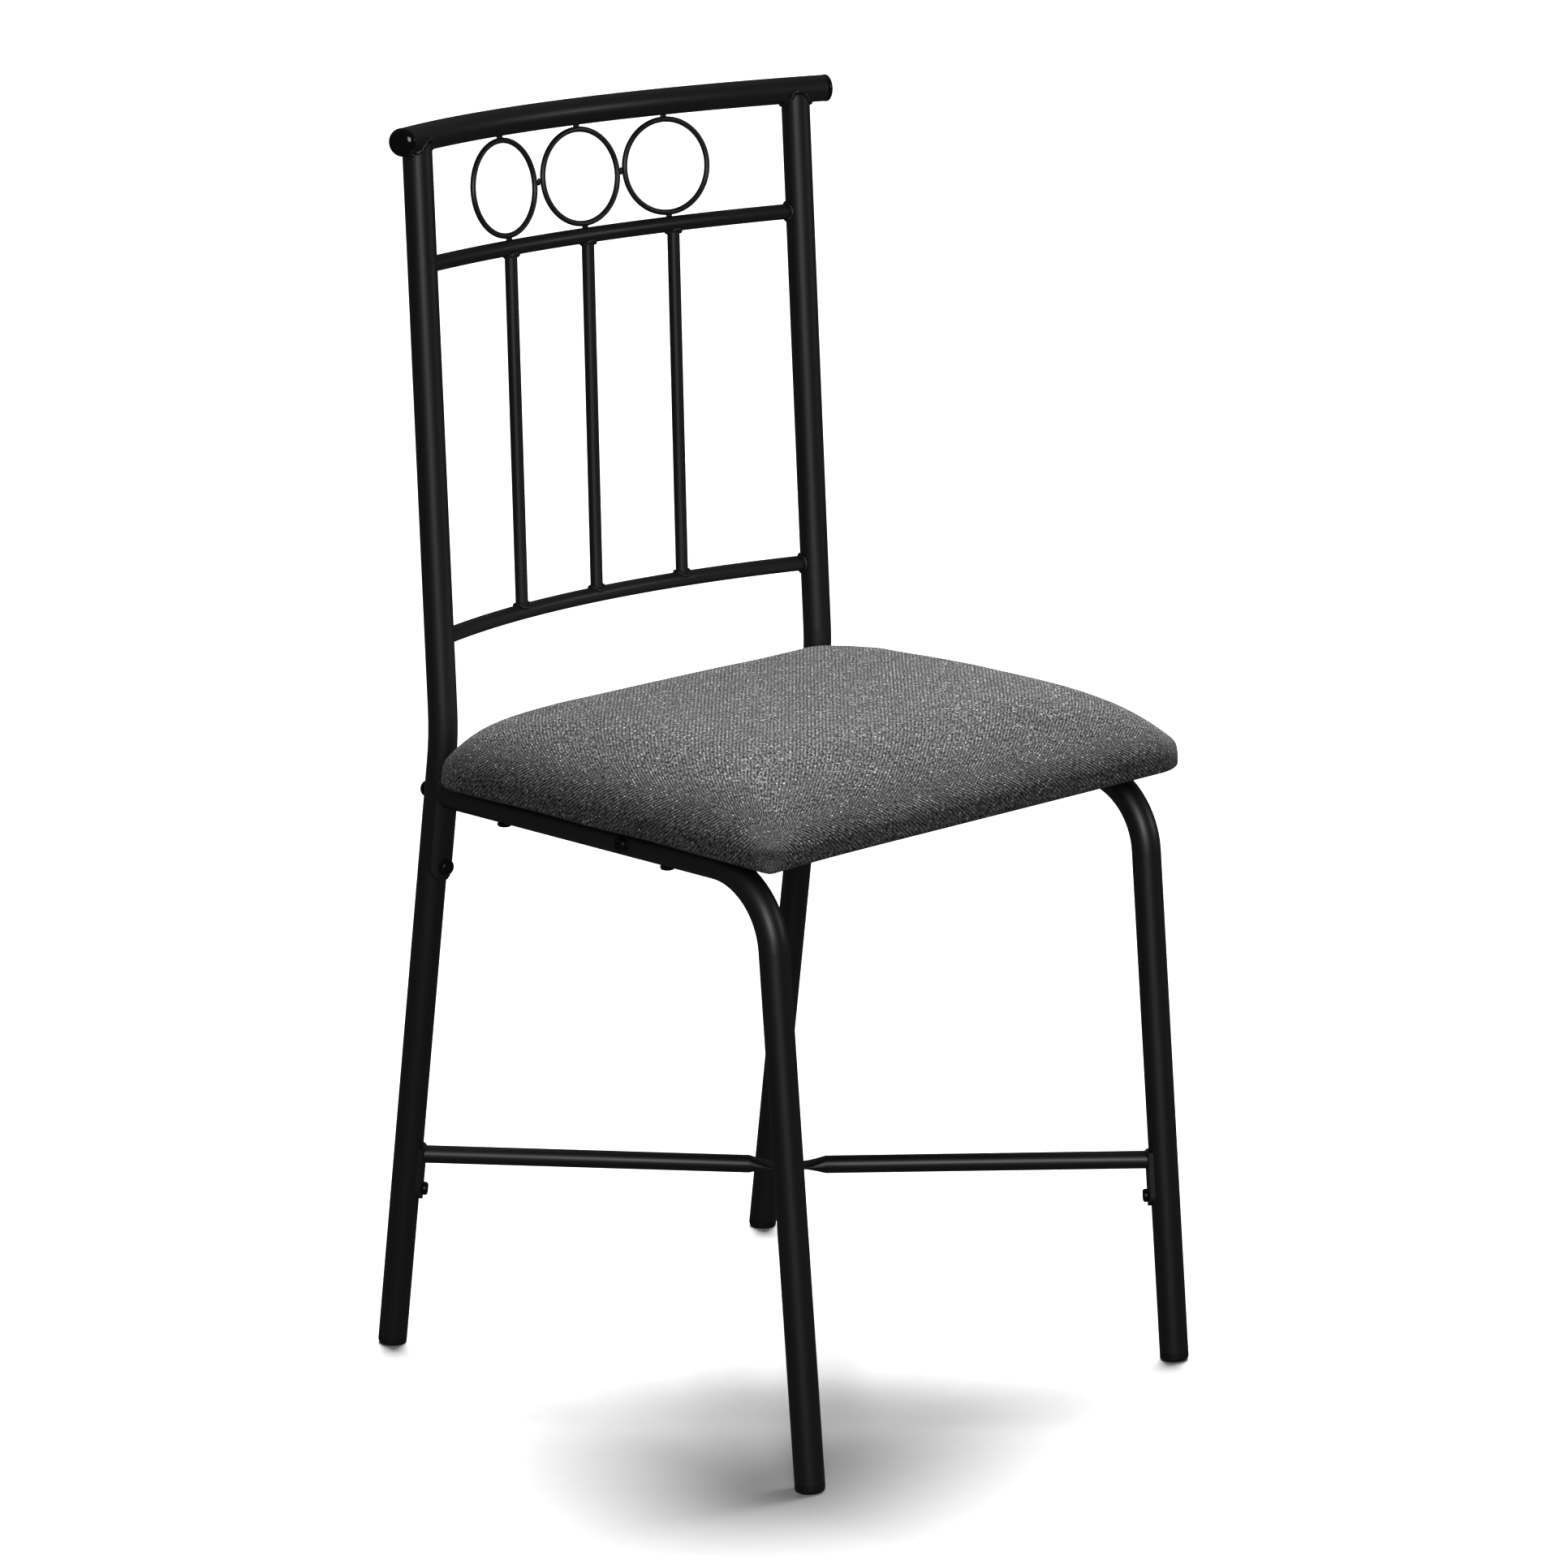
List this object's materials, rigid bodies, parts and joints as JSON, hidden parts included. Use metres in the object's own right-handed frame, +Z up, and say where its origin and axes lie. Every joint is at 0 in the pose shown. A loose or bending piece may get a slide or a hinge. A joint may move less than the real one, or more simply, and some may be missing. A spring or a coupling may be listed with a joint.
{
  "type": "dining chair",
  "caption": "Metal-framed dining chair with a bowed open back of rails, spindles and wire rings, crossed stretchers and an upholstered seat.",
  "frame": {"origin": "on the floor, under the middle of the chair's bounding box", "axes": "+Z up, the chair faces -Y, its back is towards +Y, the sitter's right side is towards -X"},
  "size_m": [0.4152, 0.4386, 0.8763],
  "materials": {
    "frame_black": "satin black powder coat",
    "cap_plastic": "glossy black",
    "glide_plastic": "matt black",
    "bolt_black": "black oxide",
    "zinc": "zinc plated",
    "plywood": "raw plywood",
    "foam": "open-cell foam",
    "seat_cloth": "heathered charcoal twill",
    "dust_cloth": "thin black non-woven"
  },
  "bodies": {
    "root": {"rear_post_left": "frame_black", "rear_post_right": "frame_black", "top_rail": "frame_black", "middle_back_rail": "frame_black", "lower_back_rail": "frame_black", "spindle_left": "frame_black", "spindle_centre": "frame_black", "spindle_right": "frame_black", "ring_left": "frame_black", "ring_centre": "frame_black", "ring_right": "frame_black", "side_frame_left": "frame_black", "side_frame_right": "frame_black", "frame_saddle_left": "frame_black", "frame_saddle_right": "frame_black", "seat_crossbar": "frame_black", "stretcher_lower": "frame_black", "stretcher_upper": "frame_black", "top_rail_cap_left": "cap_plastic", "top_rail_cap_right": "cap_plastic", "foot_glide_front_left": "glide_plastic", "foot_glide_front_right": "glide_plastic", "foot_glide_rear_left": "glide_plastic", "foot_glide_rear_right": "glide_plastic", "frame_bolts_lower": "bolt_black", "frame_bolts_upper": "bolt_black", "crossbar_bolts": "bolt_black", "stretcher_screws": "bolt_black", "seat_screws": "bolt_black", "stretcher_centre_bolt": "bolt_black", "stretcher_centre_nut": "zinc", "rail_end_plugs": "zinc", "post_inserts": "zinc", "crossbar_plugs": "zinc", "leg_inserts": "zinc", "t_nuts": "zinc", "staples": "zinc", "seat_board": "plywood", "seat_foam": "foam", "seat_cover": "seat_cloth", "dust_cover": "dust_cloth"}
  },
  "joints": []
}
